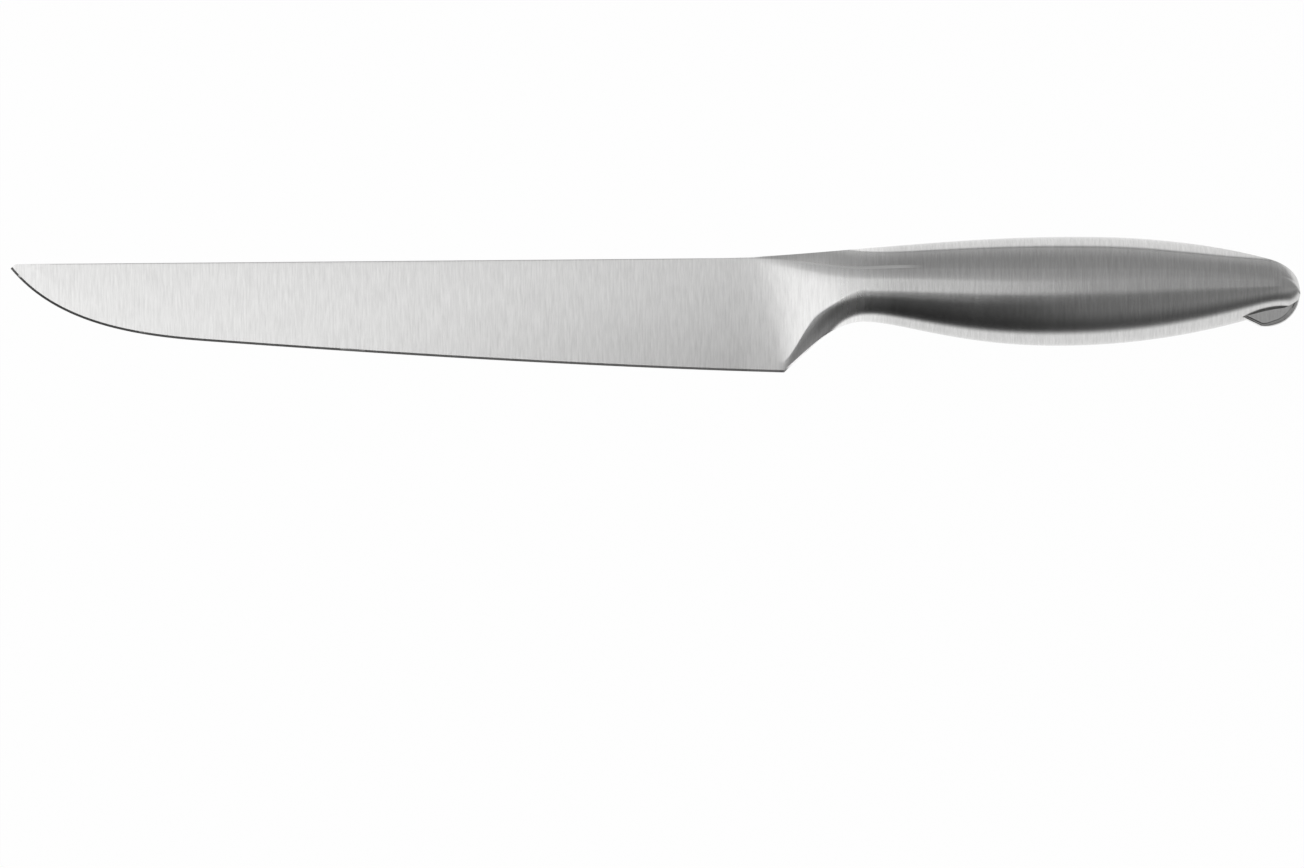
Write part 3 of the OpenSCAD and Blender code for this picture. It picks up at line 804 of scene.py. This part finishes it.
def noise(tree, coords, scale, detail, roughness):
    """A noise stretched by three scales, in features for each metre."""
    mapping = tree.nodes.new("ShaderNodeMapping")
    mapping.inputs["Scale"].default_value = scale
    texture = tree.nodes.new("ShaderNodeTexNoise")
    texture.inputs["Scale"].default_value = 1.0
    texture.inputs["Detail"].default_value = detail
    texture.inputs["Roughness"].default_value = roughness
    tree.links.new(coords, mapping.inputs["Vector"])
    tree.links.new(mapping.outputs["Vector"], texture.inputs["Vector"])
    return texture.outputs["Fac"]


def spread(tree, value, share):
    """Turns a noise into a factor around 1 that varies by the share."""
    ranged = tree.nodes.new("ShaderNodeMapRange")
    ranged.inputs["From Min"].default_value = NOISE_RANGE[0]
    ranged.inputs["From Max"].default_value = NOISE_RANGE[1]
    ranged.inputs["To Min"].default_value = 1 - share
    ranged.inputs["To Max"].default_value = 1 + share
    tree.links.new(value, ranged.inputs["Value"])
    return ranged.outputs["Result"]


def profile(tree, value, stops):
    """Follows (position, level) stops, smooth between them."""
    level = stops[0][1]
    for (start, before), (end, after) in zip(stops, stops[1:]):
        if before != after:
            level = maths(tree, "ADD", step(tree, value, start, end, 0.0, after - before), level)
    return level


def in_frame(stops):
    """Stops at distances from the heel, as stops at the frame's x."""
    return [((SHIFT[0] + x) * MM, level) for x, level in stops]


def towards(tree, value, goal, share):
    """The value where the share is 0, the goal where it is 1."""
    node = tree.nodes.new("ShaderNodeMix")
    feed(tree, share, node.inputs["Factor"])
    feed(tree, value, node.inputs["A"])
    feed(tree, goal, node.inputs["B"])
    return node.outputs["Result"]


def steel(name, tones, roughs):
    """Steel ground across the knife, with its tone and roughness given along it, and smoother and lighter
    where worn: the lighter colour is a painted highlight.
    """
    material, tree, shader = node_tree(name)
    coords = tree.nodes.new("ShaderNodeTexCoord").outputs["Object"]
    x = place(tree)["X"]
    # the crease's wear, where the colour is raised as a painted highlight
    wear_and_highlight = tree.nodes.new("ShaderNodeAttribute")
    wear_and_highlight.attribute_name = "wear_and_highlight"
    worn_and_highlight = step(tree, wear_and_highlight.outputs["Fac"], *WEAR_AND_HIGHLIGHT_RANGE)
    fine = noise(tree, coords, GRAIN, detail=4.0, roughness=0.7)
    broad = noise(tree, coords, BROAD_GRAIN, detail=2.0, roughness=0.6)
    tone = maths(tree, "MULTIPLY", profile(tree, x, in_frame(tones)), spread(tree, fine, TONE_SPREAD))
    tone = maths(tree, "MULTIPLY", tone, spread(tree, broad, BROAD_SPREAD))
    # painted highlight: lighter colour along the crease
    tone = towards(tree, tone, WORN_HIGHLIGHT_TONE, worn_and_highlight)
    colour = tree.nodes.new("ShaderNodeCombineColor")
    for channel, share in zip(("Red", "Green", "Blue"), STEEL_TINT):
        tree.links.new(maths(tree, "MULTIPLY", tone, share), colour.inputs[channel])
    tree.links.new(colour.outputs["Color"], shader.inputs["Base Color"])
    rough = maths(tree, "MULTIPLY", profile(tree, x, in_frame(roughs)), spread(tree, broad, ROUGH_SPREAD))
    feed(tree, towards(tree, rough, WORN_ROUGH, worn_and_highlight), shader.inputs["Roughness"])
    bump = tree.nodes.new("ShaderNodeBump")
    bump.inputs["Strength"].default_value = 1.0
    bump.inputs["Distance"].default_value = SCRATCH
    tree.links.new(fine, bump.inputs["Height"])
    tree.links.new(bump.outputs["Normal"], shader.inputs["Normal"])
    around = tree.nodes.new("ShaderNodeVectorMath")
    around.operation = "CROSS_PRODUCT"
    around.inputs[0].default_value = (1, 0, 0)
    tree.links.new(tree.nodes.new("ShaderNodeNewGeometry").outputs["Normal"], around.inputs[1])
    tree.links.new(around.outputs["Vector"], shader.inputs["Tangent"])
    shader.inputs["Metallic"].default_value = 1.0
    shader.inputs["Anisotropic"].default_value = ANISOTROPY
    shader.inputs["Anisotropic Rotation"].default_value = ANISO_TURN
    return material


def dress(obj, material, node):
    """Gives a piece its steel, attaches it to the root, and hides the frame's node that it stands for."""
    obj.data.materials.clear()
    obj.data.materials.append(material)
    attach(obj, "root")
    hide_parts(node)


def seen_share(tree, names, level):
    """level for the named kinds of rays, 0 for all others."""
    path = tree.nodes.new("ShaderNodeLightPath")
    seen = path.outputs[names[0]]
    for name in names[1:]:
        seen = maths(tree, "MAXIMUM", seen, path.outputs[name])
    return maths(tree, "MULTIPLY", seen, level)


def surface(tree, first, second, share):
    """Makes the first shader the material's surface where the share is 0, and the second where it is 1."""
    blend = tree.nodes.new("ShaderNodeMixShader")
    for output, name in ((share, "Fac"), (first, 1), (second, 2)):
        tree.links.new(output, blend.inputs[name])
    tree.links.new(blend.outputs["Shader"], tree.nodes["Material Output"].inputs["Surface"])


def flat_mesh(name, corners, z, material):
    """A level piece of the studio."""
    mesh = bpy.data.meshes.new(name)
    mesh.from_pydata([(x, y, z) for x, y in corners], [], [tuple(range(len(corners)))])
    mesh.materials.append(material)
    obj = bpy.data.objects.new(name, mesh)
    bpy.context.scene.collection.objects.link(obj)
    return obj


def make_floor():
    """A white floor that shows the knife's shadow faintly."""
    material, tree, shader = node_tree("white_floor")
    shader.inputs["Base Color"].default_value = (FLOOR_GREY, FLOOR_GREY, FLOOR_GREY, 1)
    shader.inputs["Roughness"].default_value = FLOOR_ROUGH
    glow = tree.nodes.new("ShaderNodeEmission")
    glow.inputs["Color"].default_value = (1, 1, 1, 1)
    lit = step(tree, place(tree)["Y"], *FLOOR_LIT_Y, FLOOR_GLOW, 0.0)
    share = maths(tree, "MAXIMUM", seen_share(tree, ("Is Camera Ray",), FLOOR_GLOW),
                  seen_share(tree, ("Is Glossy Ray", "Is Transmission Ray"), lit))
    surface(tree, shader.outputs["BSDF"], glow.outputs["Emission"], share)
    half = FLOOR_HALF
    flat_mesh("floor", [(-half, -half), (half, -half), (half, half), (-half, half)], 0, material)


def make_soft_box():
    """A long soft box over the knife, brightest towards the point and narrower over the handle."""
    material, tree, shader = node_tree("soft_box_cloth")
    tree.nodes.remove(shader)
    x, y, _ = place(tree)
    glow = tree.nodes.new("ShaderNodeEmission")
    tree.links.new(ramp(tree, x, *BOX_X, BOX_LEVELS), glow.inputs["Color"])
    glow.inputs["Strength"].default_value = BOX_STRENGTH
    above = step(tree, maths(tree, "SUBTRACT", y, profile(tree, x, BOX_LOW)), 0.0, BOX_SOFT)
    below = step(tree, maths(tree, "SUBTRACT", profile(tree, x, BOX_HIGH), y), 0.0, BOX_SOFT)
    clear = tree.nodes.new("ShaderNodeBsdfTransparent")
    surface(tree, clear.outputs["BSDF"], glow.outputs["Emission"], maths(tree, "MULTIPLY", above, below))
    (x0, x1), y0, y1 = BOX_X, BOX_LOW[0][1], BOX_HIGH[-1][1]
    box = flat_mesh("soft_box", [(x0, y0), (x1, y0), (x1, y1), (x0, y1)], BOX_Z, material)
    box.visible_camera = False
    box.visible_shadow = False


def make_world():
    """The studio: grey on the spine's side, and on the edge's side a dark card that gets lighter towards
    the butt. The camera sees white."""
    world = bpy.data.worlds.new("studio")
    bpy.context.scene.world = world
    world.use_nodes = True
    tree = world.node_tree
    x, y, z = place(tree, "Generated")
    turn = maths(tree, "MULTIPLY", maths(tree, "ARCTAN2", y, z), 180 / math.pi)
    light = tree.nodes.new("ShaderNodeMix")
    light.data_type = "RGBA"
    tree.links.new(step(tree, x, *CARD_TURN_X), light.inputs["Factor"])
    for stops, name in ((CARD_NEAR, "A"), (CARD_FAR, "B")):
        tree.links.new(ramp(tree, turn, -180.0, 180.0, stops), light.inputs[name])
    shown = tree.nodes.new("ShaderNodeMix")
    shown.data_type = "RGBA"
    tree.links.new(seen_share(tree, ("Is Camera Ray",), 1.0), shown.inputs["Factor"])
    tree.links.new(light.outputs["Result"], shown.inputs["A"])
    shown.inputs["B"].default_value = (1, 1, 1, 1)
    tree.links.new(shown.outputs["Result"], tree.nodes["Background"].inputs["Color"])
    tree.nodes["Background"].inputs["Strength"].default_value = 1.0


def make_camera():
    """Straight down on the knife, with the photograph's frame and its slight roll."""
    data = bpy.data.cameras.new("camera")
    data.sensor_width = SENSOR
    data.lens = SENSOR * CAMERA_FAR / (PHOTO_W * PX_MM * MM)
    data.clip_end = CAMERA_CLIP
    camera = bpy.data.objects.new("camera", data)
    bpy.context.scene.collection.objects.link(camera)
    camera.location = (*((CAMERA_AT + SHIFT[:2]) * MM), HANDLE_W / 2 * MM + CAMERA_FAR)
    camera.rotation_euler = (0, 0, math.radians(CAMERA_ROLL))
    bpy.context.scene.camera = camera


def main():
    make_camera()
    make_world()
    make_floor()
    make_soft_box()
    blade_steel = steel("blade_steel", TONES, ROUGHS)
    handle_steel = steel("handle_steel", TONES, ROUGHS)
    weight_steel = steel("weight_steel", WEIGHT_TONES, WEIGHT_ROUGHS)
    dress(make_blade(), blade_steel, "blade")
    dress(make_shell("shell_left", 1), handle_steel, "handle_shell_left")
    dress(make_shell("shell_right", -1), handle_steel, "handle_shell_right")
    dress(make_cap(), handle_steel, "butt_cap")
    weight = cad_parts["balance_weight"].data
    weight.materials.clear()
    weight.materials.append(weight_steel)
    bpy.context.scene.view_settings.view_transform = "Standard"


main()
